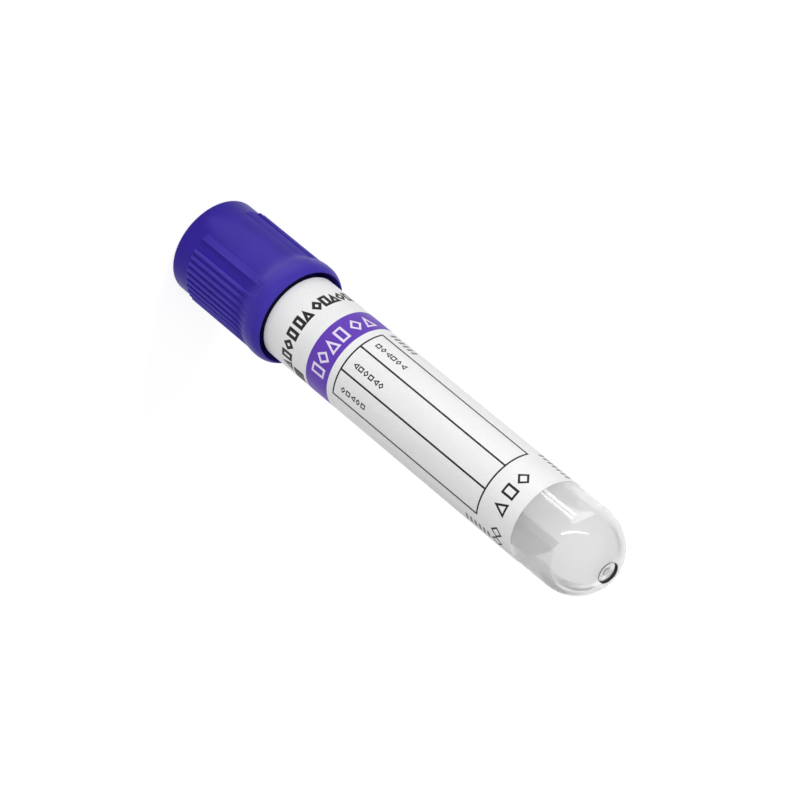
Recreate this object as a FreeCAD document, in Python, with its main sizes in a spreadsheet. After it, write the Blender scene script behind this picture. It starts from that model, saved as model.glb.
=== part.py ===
import FreeCAD, Part
import Sketcher
import math
import os

# A 4 ml evacuated blood collection tube, 13 x 75 mm, with its purple closure on.
# Every piece is drawn upright, about its own Z axis: the pole of the round bottom is at the
# origin, and the mouth and the closure are above it. All pieces then share one placement, which
# turns the tube over: on its side it would roll, and so it stands on the closure's flat top.
# Angles about the tube's axis are counted as it is drawn, from +X towards +Y. The label's printed
# side is at 90 degrees, which faces -Y once the tube is turned over.

DOC = FreeCAD.newDocument("blood_collection_tube")
SHEET = DOC.addObject("Spreadsheet::Sheet", "Sizes")

SIZES = [
    # the clear tube
    ("tube_length", 75.0),
    ("tube_diameter", 13.0),
    ("tube_wall", 1.0),
    ("tube_base_wall", 1.25),
    ("tube_rim_round", 0.3),
    ("gate_diameter", 3.2),
    ("gate_depth", 0.65),
    ("gate_nub_diameter", 1.1),
    ("gate_nub_height", 0.2),
    # the label
    ("label_start", 12.72),
    ("label_tuck", 0.05),
    ("label_sheet", 0.07),
    ("label_glue", 0.01),
    ("label_lap_turn", 350.0),
    ("label_corner", 2.0),
    # the rubber stopper
    ("plug_length", 7.0),
    ("plug_clearance", 0.04),
    ("plug_lead", 0.6),
    ("plug_wall", 2.46),
    ("septum_thickness", 3.0),
    ("septum_below_mouth", 1.0),
    ("flange_height", 2.2),
    ("neck_inset", 1.2),
    ("neck_height", 1.8),
    ("head_inset", 0.2),
    ("head_height", 4.0),
    ("head_lead", 0.3),
    ("well_wall", 2.4),
    # the shield
    ("turning_clearance", 0.04),
    ("shield_top_wall", 2.96),
    ("shield_side_wall", 1.26),
    ("shield_taper", 0.06),
    ("shield_edge_round", 0.4),
    ("shield_overlap", 9.0),
    ("flange_gap", 0.22),
    ("skirt_gap", 0.82),
    ("skirt_lip", 0.13),
    ("bead_wall", 0.76),
    ("bead_round", 2.45),
    ("bead_land", 0.45),
    ("flare_length", 3.0),
    ("entry_margin", 0.7),
    ("entry_sink", 1.0),
    # the finger grips on the shield
    ("grip_turn", 211.8),
    ("grip_below_top", 3.55),
    ("grip_height", 0.31),
    ("grip_recess", 0.16),
    ("grip_run_out", 0.5),
    ("flute_rib_width", 0.64),
    ("flute_rib_count", 12),
    ("flute_rib_pitch", 7.5),
    ("edge_rib_width", 1.2),
    ("edge_rib_round", 0.12),
    ("edge_rib_gap", 18.17),
]

for row, (alias, value) in enumerate(SIZES, start=1):
    SHEET.set("A%d" % row, alias)
    SHEET.set("B%d" % row, str(value))
    SHEET.setAlias("B%d" % row, alias)
DOC.recompute()


def size(alias):
    """The expression that reads one driving size."""
    return "Sizes.%s" % alias


def half(alias):
    return "(Sizes.%s / 2)" % alias


def number(expression):
    """The value of an expression now, in mm or degrees."""
    value = SHEET.evalExpression(expression)
    return float(getattr(value, "Value", value))


# Radii that more than one piece or feature takes its size from, as expressions.
TUBE_R = half("tube_diameter")
BORE_R = "(%s - %s)" % (TUBE_R, size("tube_wall"))
NECK_R = "(%s - %s)" % (TUBE_R, size("neck_inset"))
HEAD_R = "(%s - %s)" % (TUBE_R, size("head_inset"))
WELL_R = "(%s - %s)" % (HEAD_R, size("well_wall"))
SKIRT_BORE_R = "(%s + %s)" % (TUBE_R, size("skirt_gap"))
LIP_R = "(%s + %s)" % (SKIRT_BORE_R, size("skirt_lip"))
SIDE_R = "(%s + %s + %s)" % (HEAD_R, size("turning_clearance"), size("shield_side_wall"))
BEAD_R = "(%s + %s)" % (SKIRT_BORE_R, size("bead_wall"))
GRIP_R = "(%s + %s)" % (SIDE_R, size("grip_height"))
GRIP_ROOT_R = "((%s + %s - %s) / 2)" % (SKIRT_BORE_R, SIDE_R, size("grip_recess"))
# From the middle of a fluted pad to the broad ribs that edge it.
PAD_SWING = "(%s * (%s - 1) / 2 + %s)" % (
    size("flute_rib_pitch"), size("flute_rib_count"), size("edge_rib_gap"))
# Heights on the upright tube's axis.
MOUTH = size("tube_length")
NECK_FOOT = "(%s + %s)" % (MOUTH, size("flange_height"))
NECK_TOP = "(%s + %s)" % (NECK_FOOT, size("neck_height"))
HEAD_TOP = "(%s + %s)" % (NECK_TOP, size("head_height"))
CAVITY_TOP = "(%s + %s)" % (HEAD_TOP, size("turning_clearance"))
SHIELD_TOP = "(%s + %s)" % (CAVITY_TOP, size("shield_top_wall"))
SHIELD_RIM = "(%s - %s)" % (MOUTH, size("shield_overlap"))
LABEL_WIDTH = "(%s + %s - %s)" % (SHIELD_RIM, size("label_tuck"), size("label_start"))
# The bead is an arc from the rim's lip out to its crest.
BEAD_REACH = "(%s - %s)" % (BEAD_R, LIP_R)
BEAD_CREST = "(%s + sqrt(2 * %s * %s - %s^2))" % (
    SHIELD_RIM, size("bead_round"), BEAD_REACH, BEAD_REACH)
# The flare is two equal arcs, from the bead's straight land up to the foot of the side.
SIDE_FOOT_R = "(%s + %s)" % (SIDE_R, size("shield_taper"))
CREST_TOP = "(%s + %s)" % (BEAD_CREST, size("bead_land"))
FLARE_TOP = "(%s + %s)" % (CREST_TOP, size("flare_length"))
FLARE_MIDDLE = "(%s + %s / 2)" % (CREST_TOP, size("flare_length"))
FLARE_STEP = "(%s - %s)" % (BEAD_R, SIDE_FOOT_R)
FLARE_ARC = "((%s^2 + %s^2) / (4 * %s))" % (size("flare_length"), FLARE_STEP, FLARE_STEP)


class Outline:
    """A closed outline in a sketch, with each corner's two coordinates bound to the sheet."""

    def __init__(self, sketch):
        self.sketch = sketch
        self.corners = []
        self.arcs = {}

    def corner(self, across, along):
        """Adds a corner. A side from here on is straight unless an arc is asked for."""
        self.corners.append((across, along))
        return self

    def arc(self, radius, bulge):
        """Makes the side after the last corner an arc: bulge is 1 to its right, -1 to its left."""
        self.arcs[len(self.corners) - 1] = (radius, bulge)
        return self

    def close(self):
        count = len(self.corners)
        points = [self._point(corner) for corner in self.corners]
        sides = []
        for index in range(count):
            start = points[index]
            end = points[(index + 1) % count]
            if index in self.arcs:
                sides.append(self._add_arc(index, start, end))
            else:
                line = self.sketch.addGeometry(Part.LineSegment(start, end))
                sides.append((line, 1, 2))
        for index, (across, along) in enumerate(self.corners):
            before = sides[index - 1]
            here = sides[index]
            self._add(Sketcher.Constraint("Coincident", before[0], before[2], here[0], here[1]))
            self._pin("DistanceX", here, across, -2)
            self._pin("DistanceY", here, along, -1)
        return self.sketch

    def _point(self, corner):
        across, along = corner
        x = number(across) if across else 0.0
        y = number(along) if along else 0.0
        return FreeCAD.Vector(x, y, 0)

    def _add(self, constraint):
        return self.sketch.addConstraint(constraint)

    def _pin(self, kind, side, expression, axis):
        """Binds one coordinate of a corner, or puts it on the axis where it has none."""
        if not expression:
            self._add(Sketcher.Constraint("PointOnObject", side[0], side[1], axis))
            return
        pin = self._add(Sketcher.Constraint(kind, side[0], side[1], number(expression)))
        self.sketch.setExpression("Constraints[%d]" % pin, expression)

    def _add_arc(self, index, start, end):
        radius, bulge = self.arcs[index]
        chord = end - start
        middle = (start + end) * 0.5
        right = FreeCAD.Vector(chord.y, -chord.x, 0).normalize()
        rise = number(radius) - math.sqrt(number(radius) ** 2 - (chord.Length / 2) ** 2)
        crown = middle + right * (rise * bulge)
        geometry = self.sketch.addGeometry(Part.Arc(start, crown, end))
        constraint = self._add(Sketcher.Constraint("Radius", geometry, number(radius)))
        self.sketch.setExpression("Constraints[%d]" % constraint, radius)
        starts_here = self.sketch.getPoint(geometry, 1).distanceToPoint(start) < 1e-6
        return (geometry, 1, 2) if starts_here else (geometry, 2, 1)


def new_body(name):
    body = DOC.addObject("PartDesign::Body", name)
    body.Label = name
    return body


def plane_of(body, role):
    return [item for item in body.Origin.OriginFeatures if item.Role == role][0]


def sketch_on(body, role, name):
    sketch = body.newObject("Sketcher::SketchObject", name)
    sketch.AttachmentSupport = [(plane_of(body, role), "")]
    sketch.MapMode = "FlatFace"
    return sketch


def turned(body, name, sketch):
    """Turns an outline, drawn as radius across and height along, about the tube's axis."""
    feature = body.newObject("PartDesign::Revolution", name)
    feature.Profile = sketch
    feature.ReferenceAxis = (sketch, ["V_Axis"])
    feature.Angle = 360.0
    return feature


def tube_body():
    """The moulded tube: one wall from the rounded rim to the round bottom.

    Its inside is round too, a little thicker at the pole, where the mould's gate leaves a shallow
    recess with a nub in it.
    """
    body = new_body("tube_body")
    gate_r = half("gate_diameter")
    nub_r = half("gate_nub_diameter")
    gate_edge = "(%s - sqrt(%s^2 - %s^2))" % (TUBE_R, TUBE_R, gate_r)
    gate_floor = size("gate_depth")
    nub_top = "(%s - %s)" % (gate_floor, size("gate_nub_height"))
    inner_centre = "(%s + %s)" % (size("tube_base_wall"), BORE_R)
    rim = size("tube_rim_round")
    outline = Outline(sketch_on(body, "XZ_Plane", "tube_outline"))
    outline.corner(None, nub_top)
    outline.corner(nub_r, nub_top)
    outline.corner(nub_r, gate_floor)
    outline.corner(gate_r, gate_floor)
    outline.corner(gate_r, gate_edge).arc(TUBE_R, 1)
    outline.corner(TUBE_R, TUBE_R)
    outline.corner(TUBE_R, "(%s - %s)" % (MOUTH, rim)).arc(rim, 1)
    outline.corner("(%s - %s)" % (TUBE_R, rim), MOUTH)
    outline.corner("(%s + %s)" % (BORE_R, rim), MOUTH).arc(rim, 1)
    outline.corner(BORE_R, "(%s - %s)" % (MOUTH, rim))
    outline.corner(BORE_R, inner_centre).arc(BORE_R, -1)
    outline.corner(None, size("tube_base_wall"))
    turned(body, "tube_wall", outline.close())
    return body


def rubber_stopper():
    """The stopper: a hollow plug in the mouth, a flange on the rim, a neck and a head.

    A needle goes down the well in the head and through the septum into the plug's recess.
    """
    body = new_body("rubber_stopper")
    plug_r = "(%s - %s)" % (BORE_R, size("plug_clearance"))
    lead = size("plug_lead")
    foot = "(%s - %s)" % (MOUTH, size("plug_length"))
    septum_foot = "(%s - %s)" % (MOUTH, size("septum_below_mouth"))
    septum_top = "(%s + %s)" % (septum_foot, size("septum_thickness"))
    recess_r = "(%s - %s)" % (plug_r, size("plug_wall"))
    head_lead = size("head_lead")
    outline = Outline(sketch_on(body, "XZ_Plane", "stopper_outline"))
    outline.corner(None, septum_foot)
    outline.corner(recess_r, septum_foot)
    outline.corner(recess_r, foot)
    outline.corner("(%s - %s)" % (plug_r, lead), foot)
    outline.corner(plug_r, "(%s + %s)" % (foot, lead))
    outline.corner(plug_r, MOUTH)
    outline.corner(TUBE_R, MOUTH)
    outline.corner(TUBE_R, NECK_FOOT)
    outline.corner(NECK_R, NECK_FOOT)
    outline.corner(NECK_R, NECK_TOP)
    outline.corner(HEAD_R, NECK_TOP)
    outline.corner(HEAD_R, "(%s - %s)" % (HEAD_TOP, head_lead))
    outline.corner("(%s - %s)" % (HEAD_R, head_lead), HEAD_TOP)
    outline.corner("(%s + %s)" % (WELL_R, head_lead), HEAD_TOP)
    outline.corner(WELL_R, "(%s - %s)" % (HEAD_TOP, head_lead))
    outline.corner(WELL_R, septum_top)
    outline.corner(None, septum_top)
    turned(body, "stopper_rubber", outline.close())
    return body


def shield_wall(body):
    """The shield without its grips: a top ring, a collar that holds the stopper, and a skirt.

    The skirt hangs over the tube's mouth and flares to a round bead at its rim.
    """
    clearance = size("turning_clearance")
    edge = size("shield_edge_round")
    entry_r = "(%s + %s)" % (WELL_R, size("entry_margin"))
    sink = size("entry_sink")
    cavity_r = "(%s + %s)" % (HEAD_R, clearance)
    collar_r = "(%s + %s)" % (NECK_R, clearance)
    collar_top = "(%s - %s)" % (NECK_TOP, clearance)
    collar_foot = "(%s + %s)" % (NECK_FOOT, clearance)
    lip = size("skirt_lip")
    outline = Outline(sketch_on(body, "XZ_Plane", "shield_outline"))
    outline.corner(LIP_R, SHIELD_RIM).arc(size("bead_round"), 1)
    outline.corner(BEAD_R, BEAD_CREST)
    outline.corner(BEAD_R, CREST_TOP).arc(FLARE_ARC, 1)
    outline.corner("(%s - %s / 2)" % (BEAD_R, FLARE_STEP), FLARE_MIDDLE).arc(FLARE_ARC, -1)
    outline.corner(SIDE_FOOT_R, FLARE_TOP)
    outline.corner(SIDE_R, "(%s - %s)" % (SHIELD_TOP, edge)).arc(edge, 1)
    outline.corner("(%s - %s)" % (SIDE_R, edge), SHIELD_TOP)
    outline.corner("(%s + %s)" % (entry_r, sink), SHIELD_TOP)
    outline.corner(entry_r, "(%s - %s)" % (SHIELD_TOP, sink))
    outline.corner(entry_r, CAVITY_TOP)
    outline.corner(cavity_r, CAVITY_TOP)
    outline.corner(cavity_r, collar_top)
    outline.corner(collar_r, collar_top)
    outline.corner(collar_r, collar_foot)
    outline.corner("(%s + %s)" % (TUBE_R, size("flange_gap")), collar_foot)
    outline.corner(SKIRT_BORE_R, "(%s + %s)" % (SHIELD_RIM, lip)).arc(lip, 1)
    return turned(body, "shield_wall", outline.close())


def pad_recesses(body):
    """Sinks the wall a little between each pad's two edge ribs, down to where the ribs run out."""
    depth = size("grip_recess")
    foot = "(%s + %s)" % (CREST_TOP, size("grip_run_out"))
    top = "(%s - %s)" % (SHIELD_TOP, size("grip_below_top"))
    clear_of_all = "(%s + %s)" % (BEAD_R, size("shield_side_wall"))
    foot_r = "(%s - %s + sqrt(%s^2 - %s^2) - %s)" % (
        BEAD_R, FLARE_ARC, FLARE_ARC, size("grip_run_out"), depth)
    sketch = sketch_on(body, "XZ_Plane", "pad_recess_outline")
    sketch.AttachmentOffset = FreeCAD.Placement(
        FreeCAD.Vector(0, 0, 0),
        FreeCAD.Rotation(FreeCAD.Vector(0, 1, 0), number(size("grip_turn"))))
    sketch.setExpression("AttachmentOffset.Rotation.Angle", size("grip_turn"))
    outline = Outline(sketch)
    outline.corner(foot_r, foot).arc(FLARE_ARC, 1)
    outline.corner("(%s - %s / 2 - %s)" % (BEAD_R, FLARE_STEP, depth), FLARE_MIDDLE).arc(FLARE_ARC, -1)
    outline.corner("(%s - %s)" % (SIDE_FOOT_R, depth), FLARE_TOP)
    outline.corner("(%s - %s)" % (SIDE_R, depth), top)
    outline.corner(clear_of_all, top)
    outline.corner(clear_of_all, foot)
    outline.close()
    before = body.Tip.Shape.Volume
    groove = body.newObject("PartDesign::Groove", "pad_recess")
    groove.Profile = sketch
    groove.ReferenceAxis = (sketch, ["V_Axis"])
    groove.Midplane = True
    groove.setExpression("Angle", "2 * " + PAD_SWING)
    DOC.recompute()
    pair = body.newObject("PartDesign::PolarPattern", "pad_recess_pair")
    pair.Originals = [groove]
    pair.Axis = (sketch, ["V_Axis"])
    pair.Angle = 360
    pair.Occurrences = 2
    body.Tip = pair
    DOC.recompute()
    if not pair.Shape.Volume < before:
        raise RuntimeError("the pads' recesses cut nothing")


def grip_sketch(body, name, turn):
    """A sketch across the axis at the bead's crest, turned to one rib's angle."""
    sketch = sketch_on(body, "XY_Plane", name)
    sketch.AttachmentOffset = FreeCAD.Placement(
        FreeCAD.Vector(0, 0, number(BEAD_CREST)),
        FreeCAD.Rotation(FreeCAD.Vector(0, 0, 1), number(turn)))
    sketch.setExpression("AttachmentOffset.Base.z", BEAD_CREST)
    sketch.setExpression("AttachmentOffset.Rotation.Angle", turn)
    return sketch


def grip_ribs(body, name, sketch, count, pitch):
    """Raises a pair of opposite ribs from the bead's crest up, and repeats it round the axis."""
    rib = body.newObject("PartDesign::Pad", name)
    rib.Profile = sketch
    rib.setExpression("Length", "%s - %s - %s" % (SHIELD_TOP, size("grip_below_top"), BEAD_CREST))
    DOC.recompute()
    pattern = body.newObject("PartDesign::PolarPattern", name + "_row")
    pattern.Originals = [rib]
    pattern.Axis = (sketch, ["N_Axis"])
    pattern.Mode = "Spacing"
    pattern.setExpression("Offset", pitch)
    pattern.setExpression("Occurrences", count)
    body.Tip = pattern
    DOC.recompute()
    return pattern


def flute_ribs(body):
    """The fluted pads: rows of half-round ribs on two opposite sides."""
    rib_r = half("flute_rib_width")
    shoulder_r = "(%s - %s)" % (GRIP_R, rib_r)
    first = "(%s - %s * (%s - 1) / 2)" % (
        size("grip_turn"), size("flute_rib_pitch"), size("flute_rib_count"))
    sketch = grip_sketch(body, "flute_rib_outline", first)
    for side in (1, -1):
        sign = "" if side > 0 else "-"
        outline = Outline(sketch)
        outline.corner(sign + GRIP_ROOT_R, "-" + rib_r)
        outline.corner(sign + shoulder_r, "-" + rib_r).arc(rib_r, side)
        outline.corner(sign + GRIP_R, "0")
        outline.arc(rib_r, side)
        outline.corner(sign + shoulder_r, rib_r)
        outline.corner(sign + GRIP_ROOT_R, rib_r)
        outline.close()
    return grip_ribs(body, "flute_rib", sketch, size("flute_rib_count"), size("flute_rib_pitch"))


def edge_ribs(body):
    """The four broad flat ribs that edge the two smooth faces between the fluted pads."""
    reach = half("edge_rib_width")
    rounding = size("edge_rib_round")
    sketch = grip_sketch(body, "edge_rib_outline", "(%s - %s)" % (size("grip_turn"), PAD_SWING))
    for side in (1, -1):
        sign = "" if side > 0 else "-"
        outline = Outline(sketch)
        outline.corner(sign + GRIP_ROOT_R, "-" + reach)
        outline.corner("%s(%s - %s)" % (sign, GRIP_R, rounding), "-" + reach).arc(rounding, side)
        outline.corner(sign + GRIP_R, "-(%s - %s)" % (reach, rounding))
        outline.corner(sign + GRIP_R, "(%s - %s)" % (reach, rounding)).arc(rounding, side)
        outline.corner("%s(%s - %s)" % (sign, GRIP_R, rounding), reach)
        outline.corner(sign + GRIP_ROOT_R, reach)
        outline.close()
    return grip_ribs(body, "edge_rib", sketch, "2", "2 * " + PAD_SWING)


def cap_shield():
    """The plastic shield: the turned wall with its finger grips."""
    body = new_body("cap_shield")
    shield_wall(body)
    DOC.recompute()
    pad_recesses(body)
    flute_ribs(body)
    edge_ribs(body)
    return body


def cylinder(name, radius, foot, height):
    item = DOC.addObject("Part::Cylinder", name)
    item.setExpression("Radius", radius)
    item.setExpression("Height", height)
    item.setExpression("Placement.Base.z", foot)
    return item


def boolean(kind, name, first, second):
    item = DOC.addObject(kind, name)
    item.Base = first
    item.Tool = second
    return item


def lap_window():
    """A block whose end has two rounded corners, to cut the label's free end to shape."""
    start = size("label_start")
    end = "(%s + %s)" % (start, LABEL_WIDTH)
    reach = size("tube_diameter")
    corner = size("label_corner")
    # The block fills the quarter before the free end.
    turn = "(%s - 90)" % size("label_lap_turn")
    sketch = DOC.addObject("Sketcher::SketchObject", "lap_outline")
    sketch.Placement = FreeCAD.Placement(
        FreeCAD.Vector(0, 0, 0), FreeCAD.Rotation(FreeCAD.Vector(1, 0, 0), 90))
    outline = Outline(sketch)
    outline.corner(None, "(%s + %s)" % (start, corner)).arc(corner, 1)
    outline.corner(corner, start)
    outline.corner(reach, start)
    outline.corner(reach, end)
    outline.corner(corner, end).arc(corner, 1)
    outline.corner(None, "(%s - %s)" % (end, corner))
    outline.close()
    block = DOC.addObject("Part::Extrusion", "lap_window")
    block.Base = sketch
    block.DirMode = "Custom"
    block.Dir = FreeCAD.Vector(0, 1, 0)
    block.setExpression("LengthFwd", reach)
    block.Solid = True
    block.Placement = FreeCAD.Placement(
        FreeCAD.Vector(0, 0, 0), FreeCAD.Rotation(FreeCAD.Vector(0, 0, 1), number(turn)))
    block.setExpression("Placement.Rotation.Angle", turn)
    return block


def label():
    """The label: one sheet glued round the tube, with its free end lapped over its start.

    The lap climbs gently off the sheet below it, and ends in a step with two rounded corners.
    """
    start = size("label_start")
    inner_r = "(%s + %s)" % (TUBE_R, size("label_glue"))
    outer_r = "(%s + %s)" % (inner_r, size("label_sheet"))
    wrap = cylinder("label_wrap", outer_r, start, LABEL_WIDTH)
    lap = cylinder("label_lap", outer_r, start, LABEL_WIDTH)
    # The lap stands one sheet proud at its free end, and meets the wrap a quarter turn before it.
    lift = "%s * %s" % (size("label_sheet"), "%s(" + size("label_lap_turn") + " * 1deg)")
    lap.setExpression("Placement.Base.x", lift % "cos")
    lap.setExpression("Placement.Base.y", lift % "sin")
    lap_end = boolean("Part::Common", "label_lap_end", lap, lap_window())
    sheet = boolean("Part::Fuse", "label_sheets", wrap, lap_end)
    inside = cylinder("label_inside", inner_r, start, LABEL_WIDTH)
    item = boolean("Part::Cut", "label", sheet, inside)
    item.Label = "label"
    return item


def turn_over(item):
    """Places a piece, drawn upright, as it stands: the closure's flat top down, the bottom up."""
    item.Placement = FreeCAD.Placement(
        FreeCAD.Vector(0, 0, number(SHIELD_TOP)), FreeCAD.Rotation(FreeCAD.Vector(1, 0, 0), 180))
    item.setExpression("Placement.Base.z", SHIELD_TOP)


def check():
    """Stops if any object failed to compute or any piece isn't one sound solid."""
    for item in DOC.Objects:
        if "Invalid" in item.State or "Error" in item.State:
            raise RuntimeError("%s did not compute: %s" % (item.Name, item.State))
    for piece in PIECES:
        shape = piece.Shape
        if shape.isNull() or not shape.isValid() or len(shape.Solids) != 1:
            raise RuntimeError("%s is not one sound solid" % piece.Label)


PIECES = [tube_body(), label(), rubber_stopper(), cap_shield()]
for piece in PIECES:
    turn_over(piece)
DOC.recompute()
check()
os.makedirs("parts", exist_ok=True)
for piece in PIECES:
    piece.Shape.exportStep("parts/%s.step" % piece.Label)
    box = piece.Shape.BoundBox
    print("%-16s %9.3f mm3  x %8.3f %8.3f  y %7.3f %7.3f  z %7.3f %7.3f" % (
        piece.Label, piece.Shape.Volume, box.XMin, box.XMax, box.YMin, box.YMax, box.ZMin, box.ZMax))
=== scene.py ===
import math

import bmesh
import bpy
from mathutils import Euler, Matrix, Vector, geometry

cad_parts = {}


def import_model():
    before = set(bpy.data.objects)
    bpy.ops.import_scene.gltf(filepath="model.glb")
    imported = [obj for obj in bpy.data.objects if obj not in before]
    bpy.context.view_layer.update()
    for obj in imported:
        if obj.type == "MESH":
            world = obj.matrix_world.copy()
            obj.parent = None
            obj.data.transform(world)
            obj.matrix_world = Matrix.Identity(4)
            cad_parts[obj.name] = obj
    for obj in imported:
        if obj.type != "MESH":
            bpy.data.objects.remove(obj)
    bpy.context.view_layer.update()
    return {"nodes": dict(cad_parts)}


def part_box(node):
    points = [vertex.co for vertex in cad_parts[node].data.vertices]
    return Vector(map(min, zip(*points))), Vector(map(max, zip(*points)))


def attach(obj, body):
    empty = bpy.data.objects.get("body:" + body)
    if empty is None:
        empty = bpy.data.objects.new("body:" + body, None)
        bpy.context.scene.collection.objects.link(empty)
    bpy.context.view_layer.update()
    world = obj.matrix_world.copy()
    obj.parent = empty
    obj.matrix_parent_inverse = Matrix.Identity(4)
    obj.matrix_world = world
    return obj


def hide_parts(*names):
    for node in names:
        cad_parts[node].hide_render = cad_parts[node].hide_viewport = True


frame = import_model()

# A blood collection tube that stands on its closure, round bottom up.
# Outlines are in millimetres: a radius from the tube's axis, and a height above the bench.
# Turns round the axis are in degrees from the front, which faces -Y, towards +X.
MM = 0.001


def box_mm(node):
    """A CAD node's lowest and highest corners, in millimetres."""
    low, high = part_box(node)
    return Vector(low) / MM, Vector(high) / MM


_, SHIELD_HIGH = box_mm("cap_shield")
LABEL_LOW, LABEL_HIGH = box_mm("label")
TUBE_LOW, _ = box_mm("tube_body")

# the clear tube
TUBE_R = 6.5
TUBE_WALL = 1.0
TUBE_MOUTH = TUBE_LOW.z
TUBE_POLE = TUBE_MOUTH + 75.0
BASE_WALL = 1.25
RIM_ROUND = 0.3
GATE_R = 1.6
GATE_DEPTH = 0.65
NUB_R = 0.55
NUB_HEIGHT = 0.2
GATE_ROUND = 0.08
GATE_LEAN = 0.6             # the recess's wall leans out by these degrees of the round bottom
COAT_START = 40.0           # the bore is coated from here to the round bottom
# the mesh's rows on the straight wall, its columns and its steps along each round stretch
WALL_HEIGHTS = (20.0, 30.0, COAT_START, 50.0, 60.0, 70.0)
TUBE_COLUMN = 2.0
DOME_STEPS = 44
BORE_ARC = 88.0             # the bore's bottom is round up to here, in degrees, and its pole is next
RIM_STEPS = 4
GATE_STEPS = 3

# the label: one sheet, whose free end is lapped over its start
LABEL_GLUE = 0.01
LABEL_SHEET = 0.07
LABEL_IN = TUBE_R + LABEL_GLUE
LABEL_OUT = LABEL_IN + LABEL_SHEET
LAP_TURN = 100.0            # the lap's free end, from which it runs on to LABEL_LAST
LAP_SPAN = 90.0
LAP_CORNER = 2.0
LAP_STEPS = 8
DOUBLE_SPAN = 69.0          # how far from its free end the lapped film's back gets painted shade and a dimmer painted glow
LABEL_LAST = LAP_TURN + LAP_SPAN
LABEL_FIRST = LABEL_LAST - 360
LABEL_COLUMN = 3.0
TURN_MM = math.radians(LABEL_OUT)   # one degree round the label, in mm

# the shield: a straight side, a flare, and a bead that is its rolled rim
SIDE_R = 7.6
FLARE_R = 7.66
BEAD_R = 8.08
LIP_R = 7.45
SKIRT_BORE_R = 7.32
RIM = SHIELD_HIGH.z
BEAD_ROUND = 2.45
BEAD_CREST = RIM - math.sqrt(2 * BEAD_ROUND * (BEAD_R - LIP_R) - (BEAD_R - LIP_R) ** 2)
BEAD_LAND = 0.45
FLARE_LENGTH = 3.0
EDGE_ROUND = 0.4
ENTRY_R = 4.6
ENTRY_SINK = 1.0
CAVITY_R = 6.34
CAVITY_FLOOR = 2.96
COLLAR_R = 5.34
COLLAR_FOOT = 7.04
COLLAR_TOP = 8.76
FLANGE_BORE_R = 6.72
# the mesh's steps along each round stretch
EDGE_STEPS = 8
FLARE_STEPS = 10
BEAD_STEPS = 14
LIP_STEPS = 4

# the finger grips: in each pad, fine flutes between two broad edge ribs
GRIP_R = 7.91
GRIP_END = 3.55
GRIP_FADE = 0.12
GRIP_FILLET = 0.1
GRIP_SUNK = 0.3             # the grips' surface runs on this far under the wall between ribs
GRIP_RECESS = 0.16          # how far the wall is sunk between an edge rib and the flutes
DIP_RECESS = 0.03           # and in the dips between the flutes
RECESS_END = 17.4
RECESS_FADE = 0.4
FLUTE_TURN = 58.2           # the middle of the near pad. The other is half a turn round
FLUTE_COUNT = 12
FLUTE_PITCH = 7.5
FLUTE_SPAN = FLUTE_PITCH * (FLUTE_COUNT - 1)
FLUTE_R = 0.32
EDGE_RIB_GAP = 18.17        # from the last flute's middle to the edge rib's
EDGE_RIB_HALF = 0.6
EDGE_RIB_ROUND = 0.12
EDGE_RIB_RAMP = 0.27        # how far an edge rib's top slopes down, out of the pad
# the mesh's rows, in mm of height, below the grips' end and along them
ROWS_BELOW_GRIPS = (1.0, 1.8, 2.6, 3.2)
ROWS_ON_GRIPS = (4.0, 5.0, 6.5, 8.0, 9.5, 11.0, 12.5, 13.8, 14.6)
GRIP_END_ROWS = 4
# its columns beside a rib's middle, in mm
FLUTE_COLUMNS = (0.0, 0.1, 0.19, 0.26, 0.305, 0.33, 0.38, 0.44)
EDGE_RIB_COLUMNS = (0.0, 0.25, 0.45, 0.5, 0.55, 0.585, 0.605, 0.63, 0.7, 0.85)
WIDEST_COLUMN = 2.0

# where a highlight is painted into the shield's colour, making the plastic paler: on the ribs' tops,
# and on the rolled rim
HIGHLIGHT_START = 0.04            # a surface this far proud of the side begins to get the painted highlight
HIGHLIGHT_FADE_START = 13.0
HIGHLIGHT_FADE_END = 16.5
EDGE_RIB_HIGHLIGHT = 0.45
RIM_HIGHLIGHT = 0.6
RIM_HIGHLIGHT_START = 14.0
RIM_HIGHLIGHT_END = 17.5
RIM_HIGHLIGHT_WIDTH = 0.3


# ---------------------------------------------------------------- meshes

def point(radius, turn, height):
    """A place in metres from a radius, a turn from the front and a height, in mm and degrees."""
    angle = math.radians(turn)
    return Vector((radius * math.sin(angle), -radius * math.cos(angle), height)) * MM


def arc(centre, radius, start, end, steps):
    """Outline points round a centre. Angles are in degrees from straight out, towards up."""
    points = []
    for step in range(steps + 1):
        angle = math.radians(start + (end - start) * step / steps)
        points.append((centre[0] + radius * math.cos(angle), centre[1] + radius * math.sin(angle)))
    return points


def add_object(name, data):
    item = bpy.data.objects.new(name, data)
    bpy.context.scene.collection.objects.link(item)
    return item


def ease(value, low, high):
    """0 below low, 1 above high, and a smooth rise between them."""
    share = min(1.0, max(0.0, (value - low) / (high - low)))
    return share * share * (3 - 2 * share)


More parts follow.
